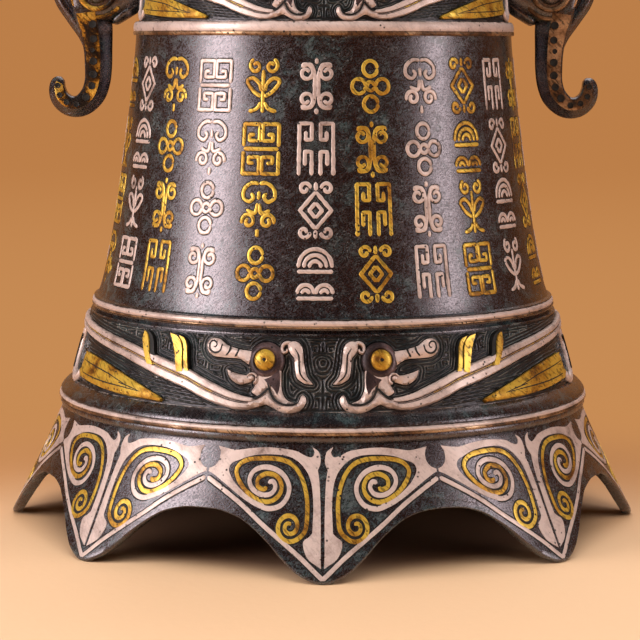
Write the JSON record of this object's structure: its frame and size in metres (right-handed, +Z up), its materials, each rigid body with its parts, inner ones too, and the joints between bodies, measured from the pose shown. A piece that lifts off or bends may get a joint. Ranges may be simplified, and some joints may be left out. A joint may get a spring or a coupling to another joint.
{
  "type": "bronze bell",
  "caption": "Cast bronze bell with flared barrel, petalled mouth, hooked beast ears, dragon bands inlaid in silver and gold, crown loop and a swinging clapper.",
  "frame": {"origin": "on the ground, under the middle of the mouth", "axes": "+Z up along the bell's axis, front towards -Y, beast ears at +X and -X"},
  "size_m": [0.2506, 0.2506, 0.2995],
  "materials": {
    "patinated_bronze": "dark blue-black patina with green mottling, satin",
    "silver_inlay": "inlaid silver, worn satin with a warm tint",
    "gold_inlay": "inlaid gold, worn satin",
    "bare_bronze": "oiled bronze, turned and filed"
  },
  "bodies": {
    "bell": {"bell_shell": "patinated_bronze", "skirt_silver_band": "silver_inlay", "barrel_base_silver_band": "silver_inlay", "barrel_top_silver_band": "silver_inlay", "shoulder_silver_band": "silver_inlay", "lower_dragon_front_left_body": "silver_inlay", "lower_dragon_front_left_eye": "gold_inlay", "lower_dragon_front_left_wing": "gold_inlay", "lower_dragon_front_right_body": "silver_inlay", "lower_dragon_front_right_eye": "gold_inlay", "lower_dragon_front_right_wing": "gold_inlay", "lower_dragon_rear_right_body": "silver_inlay", "lower_dragon_rear_right_eye": "gold_inlay", "lower_dragon_rear_right_wing": "gold_inlay", "lower_dragon_rear_left_body": "silver_inlay", "lower_dragon_rear_left_eye": "gold_inlay", "lower_dragon_rear_left_wing": "gold_inlay", "upper_dragon_front_left_body": "silver_inlay", "upper_dragon_front_left_eye": "gold_inlay", "upper_dragon_front_left_wing": "gold_inlay", "upper_dragon_front_right_body": "silver_inlay", "upper_dragon_front_right_eye": "gold_inlay", "upper_dragon_front_right_wing": "gold_inlay", "upper_dragon_rear_right_body": "silver_inlay", "upper_dragon_rear_right_eye": "gold_inlay", "upper_dragon_rear_right_wing": "gold_inlay", "upper_dragon_rear_left_body": "silver_inlay", "upper_dragon_rear_left_eye": "gold_inlay", "upper_dragon_rear_left_wing": "gold_inlay", "petal_edge_inlay_1": "silver_inlay", "petal_edge_inlay_2": "silver_inlay", "petal_edge_inlay_3": "silver_inlay", "petal_edge_inlay_4": "silver_inlay", "petal_edge_inlay_5": "silver_inlay", "petal_edge_inlay_6": "silver_inlay", "petal_edge_inlay_7": "silver_inlay", "petal_edge_inlay_8": "silver_inlay", "left_beast_ear": "patinated_bronze", "right_beast_ear": "patinated_bronze", "left_ear_screw_lower": "bare_bronze", "left_ear_screw_upper": "bare_bronze", "right_ear_screw_lower": "bare_bronze", "right_ear_screw_upper": "bare_bronze", "crown_loop": "patinated_bronze", "crown_loop_nut_left": "bare_bronze", "crown_loop_nut_right": "bare_bronze", "clapper_hanger": "bare_bronze", "clapper_hanger_nut": "bare_bronze"},
    "clapper": {"clapper_pin": "bare_bronze", "clapper_rod": "bare_bronze", "clapper_ball": "bare_bronze", "clapper_ball_nut": "bare_bronze"}
  },
  "joints": [
    {"name": "clapper_swing", "type": "hinge", "parent": "bell", "child": "clapper", "pos_m": [0, 0, 0.2245], "axis": [0, 1, 0], "range_deg": [-26.5, 26.5]}
  ]
}
